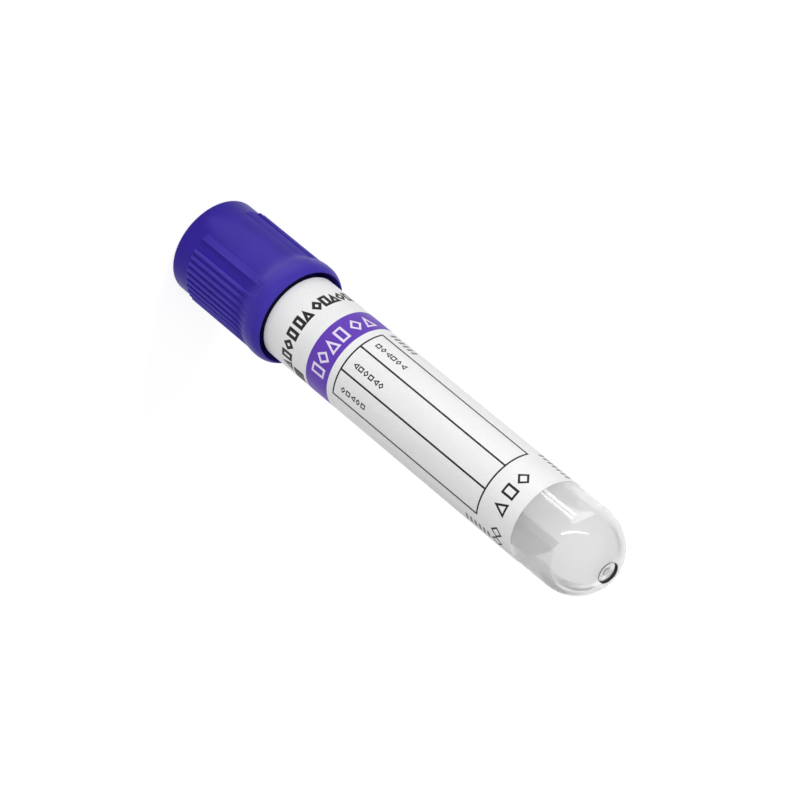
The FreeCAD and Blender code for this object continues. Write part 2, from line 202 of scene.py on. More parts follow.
def lathe(name, outline, turns, radius_at=None, sharp=35.0, material_rows=()):
    """Turns a closed outline about the axis, with a column of faces from each turn to the next.

    radius_at(radius, turn, height) may shape it. Each number in material_rows is an outline
    point from which the next material starts.
    """
    shell = bmesh.new()
    rings = []
    for radius, height in outline:
        if radius == 0.0:
            rings.append([shell.verts.new(point(0, 0, height))])
            continue
        ring = []
        for turn in turns:
            here = radius_at(radius, turn, height) if radius_at else radius
            ring.append(shell.verts.new(point(here, turn, height)))
        rings.append(ring)
    on_axis = len(rings[0]) == 1
    last = len(rings) - 1 if on_axis else len(rings)
    count = len(turns)
    for row in range(last):
        low = rings[row]
        high = rings[(row + 1) % len(rings)]
        for column in range(count):
            after = (column + 1) % count
            corners = [low[column % len(low)], low[after % len(low)],
                       high[after % len(high)], high[column % len(high)]]
            face = shell.faces.new(list(dict.fromkeys(corners)))
            face.material_index = sum(row >= start for start in material_rows)
    bmesh.ops.recalc_face_normals(shell, faces=shell.faces)
    mesh = bpy.data.meshes.new(name)
    shell.to_mesh(mesh)
    shell.free()
    mesh.polygons.foreach_set("use_smooth", [True] * len(mesh.polygons))
    mesh.set_sharp_from_angle(angle=math.radians(sharp))
    return add_object(name, mesh)


# ---------------------------------------------------------------- materials

def new_material(name):
    material = bpy.data.materials.new(name)
    material.use_nodes = True
    material.node_tree.nodes.clear()
    return material


# the colour sockets of a Mix node: its kinds share their names, so they go by number
MIX_FIRST = 6
MIX_SECOND = 7
MIX_RESULT = 2
# a noise factor keeps mostly between these
NOISE_LOW = 0.3
NOISE_HIGH = 0.7


class Nodes:
    """Adds and joins a material's nodes."""

    def __init__(self, tree):
        self.tree = tree

    def add(self, kind, **settings):
        node = self.tree.nodes.new(kind)
        for key, value in settings.items():
            setattr(node, key, value)
        return node

    def join(self, output, socket):
        self.tree.links.new(output, socket)

    def noise(self, coordinates, size_mm, detail, roughness=0.5):
        node = self.add("ShaderNodeTexNoise")
        node.inputs["Scale"].default_value = 1 / (size_mm * MM)
        node.inputs["Detail"].default_value = detail
        node.inputs["Roughness"].default_value = roughness
        self.join(coordinates, node.inputs["Vector"])
        return node.outputs["Fac"]

    def spread(self, factor, low, high):
        """Maps a noise factor onto a range."""
        node = self.add("ShaderNodeMapRange")
        node.inputs["From Min"].default_value = NOISE_LOW
        node.inputs["From Max"].default_value = NOISE_HIGH
        node.inputs["To Min"].default_value = low
        node.inputs["To Max"].default_value = high
        self.join(factor, node.inputs["Value"])
        return node.outputs["Result"]

    def blend(self, factor, first, second):
        """Mixes two colours. first may also be the output of another node."""
        node = self.add("ShaderNodeMix", data_type="RGBA")
        self.join(factor, node.inputs["Factor"])
        if isinstance(first, bpy.types.NodeSocket):
            self.join(first, node.inputs[MIX_FIRST])
        else:
            node.inputs[MIX_FIRST].default_value = (*first, 1.0)
        node.inputs[MIX_SECOND].default_value = (*second, 1.0)
        return node.outputs[MIX_RESULT]

    def bump(self, height, strength, distance_mm):
        node = self.add("ShaderNodeBump")
        node.inputs["Strength"].default_value = strength
        node.inputs["Distance"].default_value = distance_mm * MM
        self.join(height, node.inputs["Height"])
        return node.outputs["Normal"]


def srgb(red, green, blue):
    """A colour written as it shows on screen, from 0 to 255, in the linear values of a shader."""
    values = []
    for channel in (red, green, blue):
        share = channel / 255
        if share <= 0.04045:
            values.append(share / 12.92)
        else:
            values.append(((share + 0.055) / 1.055) ** 2.4)
    return tuple(values)


def grey(level):
    """An even grey in the linear values of a shader. 1 is white."""
    return (level, level, level, 1.0)


# where the highlight is painted, the plastic is this much lighter, and has this much white added
HIGHLIGHT_GAIN = 1.25
HIGHLIGHT_LIFT = 0.024
DRIFT_MM = 6.0
DRIFT_DETAIL = 2.0
GRAIN_DETAIL = 4.0
GRAIN_ROUGHNESS = 0.6
GRAIN_BUMP = 0.35
ROUGH_SPREAD = 0.05


def moulded(name, colour, rough, grain_mm, tone=0.08, bump_mm=0.004, gloss=0.5, highlight_mask=None):
    """A moulded surface: a slow drift of tone, and a fine grain that breaks the gloss.

    tone is the share by which the colour drifts either way.
    The last argument names a mesh attribute, from 0 to 1, of where a highlight is painted into the
    colour, as paler plastic.
    """
    material = new_material(name)
    nodes = Nodes(material.node_tree)
    place = nodes.add("ShaderNodeTexCoord").outputs["Object"]
    shader = nodes.add("ShaderNodeBsdfPrincipled")
    output = nodes.add("ShaderNodeOutputMaterial")
    drift = nodes.spread(nodes.noise(place, DRIFT_MM, DRIFT_DETAIL), 0.0, 1.0)
    dark = tuple(channel * (1 - tone) for channel in colour)
    light = tuple(channel * (1 + tone) for channel in colour)
    tinted = nodes.blend(drift, dark, light)
    # a painted highlight: the colour is paler where the mask is set
    if highlight_mask:
        highlight = nodes.add("ShaderNodeAttribute", attribute_name=highlight_mask).outputs["Fac"]
        paler = tuple(channel * HIGHLIGHT_GAIN + HIGHLIGHT_LIFT for channel in colour)
        tinted = nodes.blend(highlight, tinted, paler)
    nodes.join(tinted, shader.inputs["Base Color"])
    grain = nodes.noise(place, grain_mm, GRAIN_DETAIL, GRAIN_ROUGHNESS)
    roughness = nodes.spread(grain, rough - ROUGH_SPREAD, rough + ROUGH_SPREAD)
    nodes.join(roughness, shader.inputs["Roughness"])
    nodes.join(nodes.bump(grain, GRAIN_BUMP, bump_mm), shader.inputs["Normal"])
    shader.inputs["Specular IOR Level"].default_value = gloss
    nodes.join(shader.outputs["BSDF"], output.inputs["Surface"])
    return material


PLASTIC_IOR = 1.575
PLASTIC_BLUE = 1.006        # how much more blue than red and green it lets through
FLOW_MM = 3.0
FLOW_DETAIL = 2.0
FLOW_LEAST = 0.6            # the flow of the plastic varies its roughness between these shares
FLOW_MOST = 1.4
FLOW_BUMP = 0.15
FLOW_BUMP_MM = 0.01


def clear_plastic(name, tint, haze, rough):
    """The clear moulding. Lamps shine through it, so what is inside is lit.

    haze is the share of light that it scatters and doesn't let through.
    """
    material = new_material(name)
    nodes = Nodes(material.node_tree)
    place = nodes.add("ShaderNodeTexCoord").outputs["Object"]
    shader = nodes.add("ShaderNodeBsdfPrincipled")
    shader.inputs["Base Color"].default_value = (tint, tint, tint * PLASTIC_BLUE, 1.0)
    shader.inputs["Transmission Weight"].default_value = 1.0 - haze
    shader.inputs["IOR"].default_value = PLASTIC_IOR
    flow = nodes.noise(place, FLOW_MM, FLOW_DETAIL)
    roughness = nodes.spread(flow, rough * FLOW_LEAST, rough * FLOW_MOST)
    nodes.join(roughness, shader.inputs["Roughness"])
    nodes.join(nodes.bump(flow, FLOW_BUMP, FLOW_BUMP_MM), shader.inputs["Normal"])
    clear = nodes.add("ShaderNodeBsdfTransparent")
    ray = nodes.add("ShaderNodeLightPath")
    mix = nodes.add("ShaderNodeMixShader")
    nodes.join(ray.outputs["Is Shadow Ray"], mix.inputs["Fac"])
    nodes.join(shader.outputs["BSDF"], mix.inputs[1])
    nodes.join(clear.outputs["BSDF"], mix.inputs[2])
    output = nodes.add("ShaderNodeOutputMaterial")
    nodes.join(mix.outputs["Shader"], output.inputs["Surface"])
    return material


# ---------------------------------------------------------------- the clear tube

def clear_tube():
    """One wall from the rounded rim to the round bottom, with the gate's recess at the pole.

    The outline starts on the recess's floor, goes down the outside to the rim, and ends at the
    pole of the bore.
    """
    bore_r = TUBE_R - TUBE_WALL
    outer_centre = TUBE_POLE - TUBE_R
    inner_centre = TUBE_POLE - BASE_WALL - bore_r
    gate_floor = TUBE_POLE - GATE_DEPTH
    nub_top = gate_floor + NUB_HEIGHT
    gate_turn = math.degrees(math.acos(GATE_R / TUBE_R))
    soft = GATE_ROUND
    outline = [(0.0, nub_top), (NUB_R / 2, nub_top)]
    outline += arc((NUB_R - soft, nub_top - soft), soft, 90, 0, GATE_STEPS)
    outline += arc((NUB_R + soft, gate_floor + soft), soft, 180, 270, GATE_STEPS)
    # from here round the recess's wall, the outline takes the painted shade
    gate_wall = len(outline)
    outline += arc((GATE_R - soft, gate_floor + soft), soft, 270, 360, GATE_STEPS)
    outside = len(outline)
    outline += arc((0.0, outer_centre), TUBE_R, gate_turn - GATE_LEAN, 0, DOME_STEPS)
    outline += [(TUBE_R, height) for height in reversed(WALL_HEIGHTS)]
    under_shield = len(outline) - 1
    rim_top = TUBE_MOUTH + RIM_ROUND
    outline += arc((TUBE_R - RIM_ROUND, rim_top), RIM_ROUND, 0, -90, RIM_STEPS)
    outline += arc((bore_r + RIM_ROUND, rim_top), RIM_ROUND, 270, 180, RIM_STEPS)
    outline += [(bore_r, height) for height in WALL_HEIGHTS]
    coated_bore = outline.index((bore_r, COAT_START))
    outline += arc((0.0, inner_centre), bore_r, 0, BORE_ARC, DOME_STEPS)
    outline.append((0.0, inner_centre + bore_r))
    columns = round(360 / TUBE_COLUMN)
    piece = lathe("clear_tube", outline, [360 * column / columns for column in range(columns)],
                  material_rows=(gate_wall, outside, under_shield, coated_bore))
    clear = clear_plastic("clear_moulding", tint=0.86, haze=0.09, rough=0.03)
    # the gate recess's wall is painted dark grey: painted shade
    gate_shade = moulded("gate_painted_shade", srgb(26, 26, 30), rough=0.4, grain_mm=0.15)
    neck = clear_plastic("clear_neck", tint=0.86, haze=0.0, rough=0.03)
    # the coat's haze is its own, and its tint, darker than the moulding's, is painted shade for the
    # tube's shadow on the bench seen through the glass
    coated = clear_plastic("coated_bore", tint=0.81, haze=0.25, rough=0.08)
    for material in (clear, gate_shade, clear, neck, coated):
        piece.data.materials.append(material)
    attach(piece, "tube")
    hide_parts("tube_body")
    return piece


# ---------------------------------------------------------------- the shield

def across(turn, middle):
    """How far a turn is from a rib's middle, in mm round the grips."""
    away = (turn - middle + 180) % 360 - 180
    return GRIP_R * math.radians(away)


def from_pad(turn):
    """How far a turn is from the middle of the nearer pad, in degrees."""
    return abs((turn - FLUTE_TURN + 90) % 180 - 90)


def rib_middles():
    """The turns of the flute ribs, and each broad edge rib's turn and its way out of the pad."""
    half_span = FLUTE_SPAN / 2
    flutes = []
    edges = []
    for side in (0, 180):
        middle = FLUTE_TURN + side
        for index in range(FLUTE_COUNT):
            flutes.append(middle - half_span + FLUTE_PITCH * index)
        for sign in (-1, 1):
            edges.append((middle + sign * (half_span + EDGE_RIB_GAP), sign))
    return flutes, edges


FLUTES, EDGE_RIBS = rib_middles()


def grip_radius(turn):
    """How far the grips' surface stands from the axis at a turn, or 0 between the ribs."""
    highest = 0.0
    for middle in FLUTES:
        offset = abs(across(turn, middle))
        if offset < FLUTE_R:
            highest = max(highest, GRIP_R - FLUTE_R + math.sqrt(FLUTE_R ** 2 - offset ** 2))
    for middle, outward in EDGE_RIBS:
        offset = across(turn, middle)
        if abs(offset) < EDGE_RIB_HALF:
            drop = max(0.0, abs(offset) - (EDGE_RIB_HALF - EDGE_RIB_ROUND))
            ramp = EDGE_RIB_RAMP * (outward * offset + EDGE_RIB_HALF) / (2 * EDGE_RIB_HALF)
            highest = max(highest, GRIP_R - ramp - EDGE_RIB_ROUND
                          + math.sqrt(max(0.0, EDGE_RIB_ROUND ** 2 - drop ** 2)))
    return highest


def recess_depth(turn):
    """How far the wall is sunk between two edge ribs. The dips between the flutes are shallower."""
    away = from_pad(turn)
    if away > FLUTE_SPAN / 2 + EDGE_RIB_GAP:
        return 0.0
    beside = ease(away, FLUTE_SPAN / 2, FLUTE_SPAN / 2 + FLUTE_PITCH)
    return DIP_RECESS + (GRIP_RECESS - DIP_RECESS) * beside


def shield_turns():
    """Columns round the shield: close together on the ribs' sides, and even elsewhere."""
    turns = set()
    edge_ribs = [middle for middle, _ in EDGE_RIBS]
    for middles, offsets in ((FLUTES, FLUTE_COLUMNS), (edge_ribs, EDGE_RIB_COLUMNS)):
        for middle in middles:
            for offset in offsets:
                for sign in (-1, 1):
                    turn = middle + sign * math.degrees(offset / GRIP_R)
                    turns.add(round(turn % 360, 3))
    placed = sorted(turns)
    for index, turn in enumerate(placed):
        after = placed[(index + 1) % len(placed)]
        gap = (after - turn) % 360
        parts = math.ceil(gap / WIDEST_COLUMN)
        for part in range(1, parts):
            turns.add(round((turn + gap * part / parts) % 360, 3))
    return sorted(turns)


def paint_crest_highlight(mesh):
    """Notes on each point, from 0 to 1, how much painted highlight pales the plastic there."""
    painted_highlight = mesh.attributes.new("painted_highlight", "FLOAT", "POINT")
    shares = []
    for vertex in mesh.vertices:
        radius = math.hypot(vertex.co.x, vertex.co.y) / MM
        height = vertex.co.z / MM
        turn = math.degrees(math.atan2(vertex.co.x, -vertex.co.y))
        fade = 1 - ease(height, HIGHLIGHT_FADE_START, HIGHLIGHT_FADE_END)
        along = ease(height, GRIP_END, GRIP_END + GRIP_FADE) * fade
        on_flutes = from_pad(turn) < FLUTE_SPAN / 2 + FLUTE_PITCH
        proud = ease(radius, SIDE_R + HIGHLIGHT_START, GRIP_R) * (1.0 if on_flutes else EDGE_RIB_HIGHLIGHT)
        on_rim = RIM_HIGHLIGHT * ease(height, RIM_HIGHLIGHT_START, RIM_HIGHLIGHT_END)
        on_rim *= ease(radius, LIP_R - RIM_HIGHLIGHT_WIDTH, LIP_R)
        shares.append(max(proud * along, on_rim))
    painted_highlight.data.foreach_set("value", shares)


def shield():
    """The purple shield: a turned wall whose outside rises into the finger grips.

    The outline goes up the outside, round the rolled rim, and down the inside to the entry.
    """
    crest_low = BEAD_CREST - BEAD_LAND
    flare_low = crest_low - FLARE_LENGTH
    step = BEAD_R - FLARE_R
    flare_round = (FLARE_LENGTH ** 2 + step ** 2) / (4 * step)
    flare_turn = math.degrees(math.asin(FLARE_LENGTH / 2 / flare_round))
    lip = LIP_R - SKIRT_BORE_R
    lip_turn = math.degrees(math.asin((RIM - BEAD_CREST) / BEAD_ROUND))
    outline = [(ENTRY_R + ENTRY_SINK, 0.0)]
    outline += arc((SIDE_R - EDGE_ROUND, EDGE_ROUND), EDGE_ROUND, -90, 0, EDGE_STEPS)
    heights = list(ROWS_BELOW_GRIPS)
    for step in range(-GRIP_END_ROWS, GRIP_END_ROWS + 1):
        heights.append(GRIP_END + GRIP_FADE * step / GRIP_END_ROWS)
    heights += ROWS_ON_GRIPS
    for height in heights:
        outline.append((SIDE_R + (FLARE_R - SIDE_R) * height / flare_low, height))
    outline += arc((FLARE_R + flare_round, flare_low), flare_round,
                   180, 180 - flare_turn, FLARE_STEPS)
    outline += arc((BEAD_R - flare_round, crest_low), flare_round,
                   -flare_turn, 0, FLARE_STEPS)[1:]
    outline += arc((BEAD_R - BEAD_ROUND, BEAD_CREST), BEAD_ROUND, 0, lip_turn, BEAD_STEPS)
    outline += arc((LIP_R, RIM - lip), lip, 90, 180, LIP_STEPS)[1:]
    outside = set(outline)
    outline += [(FLANGE_BORE_R, COLLAR_TOP), (COLLAR_R, COLLAR_TOP), (COLLAR_R, COLLAR_FOOT),
                (CAVITY_R, COLLAR_FOOT), (CAVITY_R, CAVITY_FLOOR), (ENTRY_R, CAVITY_FLOOR),
                (ENTRY_R, ENTRY_SINK)]
    grips = {turn: grip_radius(turn) for turn in shield_turns()}

    def radius_at(radius, turn, height):
        """Raises the ribs out of the side, with a small fillet at their feet."""
        on_side = ROWS_BELOW_GRIPS[0] <= height <= crest_low
        if (radius, height) not in outside or not on_side:
            return radius
        share = ease(height, GRIP_END - GRIP_FADE, GRIP_END + GRIP_FADE)
        run_out = 1 - ease(height, RECESS_END - RECESS_FADE, RECESS_END + RECESS_FADE)
        floor_r = radius - recess_depth(turn) * run_out
        rib = max(grips[turn], floor_r - GRIP_SUNK)
        lifted = (floor_r + rib + math.hypot(floor_r - rib, GRIP_FILLET)) / 2
        return radius + (lifted - radius) * share

    piece = lathe("purple_shield", outline, sorted(grips), radius_at, sharp=50.0)
    paint_crest_highlight(piece.data)
    # the ribs' tops and the rolled rim get a painted highlight, as paler plastic
    purple = moulded("purple_plastic", srgb(49, 32, 151), rough=0.36, grain_mm=0.35, gloss=0.1,
                     highlight_mask="painted_highlight")
    piece.data.materials.append(purple)
    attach(piece, "shield")
    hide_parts("cap_shield")
    return piece


# ---------------------------------------------------------------- the label

def on_label(turn, height):
    """A place on the flat label, in mm."""
    return (turn * TURN_MM, height)


LEAST_SIDE = 1e-4           # what a box keeps of each straight side, at least
LEAST_CORNER = 0.02
CORNER_STEPS = 4


def rounded_box(centre, width, height, corner):
    """A box's outline on the flat label, with its corners rounded."""
    points = []
    corner = min(corner, width / 2 - LEAST_SIDE, height / 2 - LEAST_SIDE)
    for across_sign, up_sign, start in ((1, 1, 0), (-1, 1, 90), (-1, -1, 180), (1, -1, 270)):
        middle = (centre[0] + across_sign * (width / 2 - corner),
                  centre[1] + up_sign * (height / 2 - corner))
        points += arc(middle, corner, start, start + 90, CORNER_STEPS)
    return points


# a mark with points is drawn wider than a box, and its stroke finer
POINTED_WIDTH = 1.25
POINTED_STROKE = 0.9
BOX_CORNER = 0.06


class Print:
    """The fields of colour on the label, each laid over those before it.

    Every outline runs anticlockwise, so that its inside is the field.
    """

    def __init__(self):
        self.fields = []

    def field(self, outline, ink):
        self.fields.append((outline, ink))

    def box(self, centre, width, height, ink, corner):
        self.field(rounded_box(centre, width, height, corner), ink)

    def frame(self, centre, width, height, stroke, ink, inside, corner):
        """A box with only its border in ink."""
        self.field(rounded_box(centre, width, height, corner), ink)
        inner = max(LEAST_CORNER, corner - stroke)
        self.field(rounded_box(centre, width - 2 * stroke, height - 2 * stroke, inner), inside)

    def polygon(self, centre, corners, inner_r, stroke, ink, inside):
        """A shape with straight sides and only its border in ink. centre is its incircle's."""
        for share, colour in ((1.0, ink), (1 - stroke / inner_r, inside)):
            self.field([(centre[0] + share * x, centre[1] + share * y) for x, y in corners], colour)

    def diamond(self, centre, width, tall, stroke, ink, inside):
        corners = [(width / 2, 0), (0, tall / 2), (-width / 2, 0), (0, -tall / 2)]
        self.polygon(centre, corners, width * tall / 2 / math.hypot(width, tall), stroke, ink, inside)

    def triangle(self, centre, width, tall, stroke, ink, inside):
        """A triangle that points to the closure."""
        inner_r = width * tall / (width + 2 * math.hypot(width / 2, tall))
        top = tall / 2
        middle = (centre[0], centre[1] + top - inner_r)
        corners = [(width / 2, inner_r), (-width / 2, inner_r), (0, inner_r - tall)]
        self.polygon(middle, corners, inner_r, stroke, ink, inside)

    def mark(self, kind, centre, size, ink, inside):
        """A plain shape: b is a box, d a diamond and t a triangle."""
        width, tall, stroke = size
        if kind == "d":
            self.diamond(centre, width * POINTED_WIDTH, tall, stroke * POINTED_STROKE, ink, inside)
        elif kind == "t":
            self.triangle(centre, width * POINTED_WIDTH, tall, stroke * POINTED_STROKE, ink, inside)
        else:
            self.frame(centre, width, tall, stroke, ink, inside, BOX_CORNER)

    def row(self, kinds, turns, height, size, ink, inside):
        """A row of plain shapes round the tube, one at each turn."""
        for kind, turn in zip(kinds, turns):
            self.mark(kind, on_label(turn, height), size, ink, inside)


def from_pole(distance):
    """A height from its distance to the round bottom's centre, towards the closure."""
    return TUBE_POLE - TUBE_R - distance


# The print. All its distances are in mm from the round bottom's centre towards the closure.
# A mark's size is its width, its height and its stroke.
BAND_FAR = 50.07
BAND_NEAR = 45.44
BAND_ROW = 47.65
BAND_MARK = (1.5, 2.6, 0.36)
BOLD_ROW = 54.3
BOLD_MARK = (1.35, 2.2, 0.5)
BLOCK_TURN = 72.0
BLOCK_ROW = 51.8
BLOCK_SIZE = 2.2
BLOCK_CORNER = 0.05
TABLE_FAR = 44.02
TABLE_NEAR = 13.11
TABLE_LINES = (-54.5, -20.0, 16.5, 51.4)
TABLE_STROKE = 0.28
TABLE_CORNER = 0.02
LINE_CORNER = 0.01
WORDS = ((-35.5, "bdtbdt"), (1.8, "tbdbtd"), (37.0, "dbtdb"))
WORD_FAR = 42.2
WORD_PITCH = 1.08
WORD_MARK = (0.78, 0.9, 0.2)
VOLUME_ROW = 9.6
VOLUME_MARK = (1.7, 2.3, 0.36)
SYMBOL_ROW = 9.0
SYMBOL_MARK = (1.5, 2.3, 0.3)
# small bars in columns: each column's turn, its first bar's distance, and how many bars
BAR_COLUMNS = ((71, 15.3, 6), (-76, 12.6, 7), (-70, 43.5, 6))
BAR_PITCH = 0.9
BAR_WIDTH = 1.3
BAR_HEIGHT = 0.5
BAR_CORNER = 0.1


def round_band(far, near):
    """A field all round the label, between two heights."""
    return [on_label(LABEL_FIRST, far), on_label(LABEL_LAST, far),
            on_label(LABEL_LAST, near), on_label(LABEL_FIRST, near)]


def label_print():
    """The label's print, with plain marks where the real one has words."""
    ink = Print()

    # the violet band all round, near the closure
    ink.field(round_band(from_pole(BAND_FAR), from_pole(BAND_NEAR)), "violet")
    row = from_pole(BAND_ROW)
    ink.row("bdtb", (38, 20, 2, -16), row, BAND_MARK, "pale", "violet")
    ink.row("dt", (-38, -56), row, BAND_MARK, "pale", "violet")

    # the bold row by the closure
    row = from_pole(BOLD_ROW)
    ink.row("tbdb", (66, 52, 37, 22), row, BOLD_MARK, "black", "film")
    ink.row("bt", (6, -7), row, BOLD_MARK, "black", "film")
    ink.row("dbtdb", (-24, -37, -49, -61, -74), row, BOLD_MARK, "black", "film")
    block = on_label(BLOCK_TURN, from_pole(BLOCK_ROW))
    ink.box(block, BLOCK_SIZE, BLOCK_SIZE, "black", BLOCK_CORNER)

    # the table of three rows, each with a small word at its closure end
    low, high = from_pole(TABLE_FAR), from_pole(TABLE_NEAR)
    left, right = TABLE_LINES[0] * TURN_MM, TABLE_LINES[-1] * TURN_MM
    ink.frame(((left + right) / 2, (low + high) / 2), right - left + TABLE_STROKE,
              high - low + TABLE_STROKE, TABLE_STROKE, "black", "film", TABLE_CORNER)
    for turn in TABLE_LINES[1:-1]:
        ink.box(on_label(turn, (low + high) / 2), TABLE_STROKE, high - low, "black", LINE_CORNER)
    for turn, kinds in WORDS:
        for index, kind in enumerate(kinds):
            centre = on_label(turn, from_pole(WORD_FAR - WORD_PITCH * index))
            ink.mark(kind, centre, WORD_MARK, "black", "film")

    # the volume, the symbols and the small print
    ink.row("tbd", (22, 0, -22), from_pole(VOLUME_ROW), VOLUME_MARK, "black", "film")
    ink.row("dd", (55, 70), from_pole(SYMBOL_ROW), SYMBOL_MARK, "black", "film")
    for turn, first, count in BAR_COLUMNS:
        for index in range(count):
            centre = on_label(turn, from_pole(first - BAR_PITCH * index))
            ink.box(centre, BAR_WIDTH, BAR_HEIGHT, "grey", BAR_CORNER)
    return ink.fields


def label_radius(turn, lapped):
    """The film's outer radius. The lap's cylinder is shifted by one sheet towards its free end."""
    if not lapped:
        return LABEL_OUT
    away = math.radians(turn - LAP_TURN)
    centred = math.sqrt(LABEL_OUT ** 2 - (LABEL_SHEET * math.sin(away)) ** 2)
    return LABEL_SHEET * math.cos(away) + centred


def lap_outline(low, high):
    """The lap's part of the flat label: its free end has two rounded corners.

    Like every outline on the label it runs anticlockwise, which makes its inside the lap.
    """
    free = LAP_TURN * TURN_MM + LAP_CORNER
    outline = [on_label(LABEL_LAST, low), on_label(LABEL_LAST, high)]
    outline += arc((free, high - LAP_CORNER), LAP_CORNER, 90, 180, LAP_STEPS)
    outline += arc((free, low + LAP_CORNER), LAP_CORNER, 180, 270, LAP_STEPS)
    return outline


INK_COLOURS = {
    "film": srgb(244, 244, 244),
    "violet": srgb(100, 58, 184),
    "pale": srgb(236, 226, 248),
    "black": srgb(22, 22, 25),
    "grey": srgb(118, 118, 120),
    # the film's back has a painted glow; where the film laps, its back is darker with painted shade
    "back": srgb(228, 228, 228),
    "double_back_painted_shade": srgb(205, 205, 205),
}
INKS = tuple(INK_COLOURS)
LAP_FIELD = 1               # the lap's place among the label's fields
SAME_PLACE = 1e-5           # points of the flat label closer than this are one, in mm
ON_RIM = 1e-4               # and a point this close to the sheet's edge is on it
LAP_SLACK = 0.1
JOIN_DISTANCE = 2e-7        # in metres


def flat_label(low, high):
    """The sheet laid flat and cut into triangles.

    It gives the points, and each triangle with its ink and whether it belongs to the lap.
    """
    fields = [(round_band(low, high), "film"), (lap_outline(low, high), "film")] + label_print()
    places = []
    loops = []
    for outline, _ in fields:
        loops.append(list(range(len(places), len(places) + len(outline))))
        places += [Vector(place) for place in outline]
    edges = []
    for column in range(1, round(360 / LABEL_COLUMN)):
        turn = LABEL_FIRST + LABEL_COLUMN * column
        edges.append((len(places), len(places) + 1))
        places += [Vector(on_label(turn, low)), Vector(on_label(turn, high))]
    flat, _, triangles, _, _, sources = geometry.delaunay_2d_cdt(
        places, edges, loops, 0, SAME_PLACE, True)
    inked = []
    for triangle, source in zip(triangles, sources):
        inked.append((triangle, fields[max(source)][1], LAP_FIELD in source))
    return flat, inked


class Wrap:
    """Lays the flat label's points round the tube, and adds faces between them."""

    def __init__(self, flat):
        self.flat = flat
        self.shell = bmesh.new()
        self.made = {}

    def vertex(self, index, radius):
        key = (index, round(radius, 6))
        if key not in self.made:
            place = self.flat[index]
            self.made[key] = self.shell.verts.new(point(radius, place.x / TURN_MM, place.y))
        return self.made[key]

    def outer(self, index, lapped):
        return self.vertex(index, label_radius(self.flat[index].x / TURN_MM, lapped))

    def inner(self, index):
        return self.vertex(index, LABEL_IN)

    def face(self, corners, ink, smooth=False):
        corners = list(dict.fromkeys(corners))
        if len(corners) > 2:
            new = self.shell.faces.new(corners)
            new.material_index = INKS.index(ink)
            new.smooth = smooth

    def step(self, start, end):
        """The small step from the lap's outside down to the film below."""
        self.face([self.outer(start, True), self.outer(end, True),
                   self.outer(end, False), self.outer(start, False)], "film")

    def front(self, triangles, heights):
        """The printed outside, the step at the lap's end, and the sheet's edge at each height.

        It gives the points along each edge.
        """
        sides = {}
        for triangle, ink, lapped in triangles:
            self.face([self.outer(index, lapped) for index in triangle], ink, smooth=True)
            for start, end in zip(triangle, triangle[1:] + triangle[:1]):
                sides.setdefault(frozenset((start, end)), []).append((start, end, lapped))
        rims = {height: [] for height in heights}
        for uses in sides.values():
            start, end, lapped = uses[0]
            if len(uses) == 2 and uses[0][2] != uses[1][2]:
                self.step(start, end)
            for height, rim in rims.items():
                if max(abs(self.flat[index].y - height) for index in (start, end)) < ON_RIM:
                    if lapped:
                        self.step(start, end)
                    self.face([self.outer(start, False), self.outer(end, False),
                               self.inner(end), self.inner(start)], "film")
                    rim += [start, end]
        return [sorted(set(rim), key=lambda index: self.flat[index].x) for rim in rims.values()]

    def back(self, low_rim, high_rim):
        """The glued side, in one column from each pair of points to the next."""
        for column in range(len(low_rim) - 1):
            # where the film laps, its back gets painted shade and a dimmer painted glow
            past_lap = self.flat[low_rim[column]].x / TURN_MM - LAP_TURN
            doubled = -LAP_SLACK < past_lap < DOUBLE_SPAN - LAP_SLACK
            self.face([self.inner(low_rim[column]), self.inner(low_rim[column + 1]),
                       self.inner(high_rim[column + 1]), self.inner(high_rim[column])],
                      "double_back_painted_shade" if doubled else "back", smooth=True)

    def finished(self, name):
        """Joins the sheet's two ends and gives the mesh."""
        bmesh.ops.remove_doubles(self.shell, verts=self.shell.verts, dist=JOIN_DISTANCE)
        bmesh.ops.recalc_face_normals(self.shell, faces=self.shell.faces)
        mesh = bpy.data.meshes.new(name)
        self.shell.to_mesh(mesh)
        self.shell.free()
        return mesh


def label():
    """The label: a thin closed sheet round the tube, with its print as faces of its own."""
    heights = (LABEL_LOW.z, LABEL_HIGH.z)
    flat, triangles = flat_label(*heights)
    wrap = Wrap(flat)
    wrap.back(*wrap.front(triangles, heights))
    mesh = wrap.finished("printed_label")
    set_round_normals(mesh)
    piece = add_object("printed_label", mesh)
    for ink in INKS:
        piece.data.materials.append(printed_film(ink))
    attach(piece, "tube")
    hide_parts("label")
    return piece


def set_round_normals(mesh):
    """Gives the faces round the tube the normals of a true cylinder, and the rest flat ones."""
    normals = [None] * len(mesh.loops)
    for polygon in mesh.polygons:
        for loop in polygon.loop_indices:
            normal = polygon.normal.copy()
            if polygon.use_smooth:
                place = mesh.vertices[mesh.loops[loop].vertex_index].co
                way = Vector((place.x, place.y, 0)).normalized()
                normal = way if way.dot(polygon.normal) > 0 else -way
            normals[loop] = normal
    mesh.normals_split_custom_set(normals)


# a painted glow on the film's back, for light coming through the film, dimmer and with painted shade
# through two layers where it laps
PAINTED_BACK_GLOW = {"back": 0.5, "double_back_painted_shade": 0.1}
FILM_GLOSS = 0.25
FILM_SMOOTHEST = 0.36
FILM_ROUGHEST = 0.46
MOTTLE_MM = 0.25
MOTTLE_DETAIL = 3.0
MOTTLE_DARK = 0.965
MOTTLE_LIGHT = 1.025
RIPPLE_MM = 2.2
RIPPLE_DETAIL = 2.0
RIPPLE_BUMP = 0.12
RIPPLE_BUMP_MM = 0.02


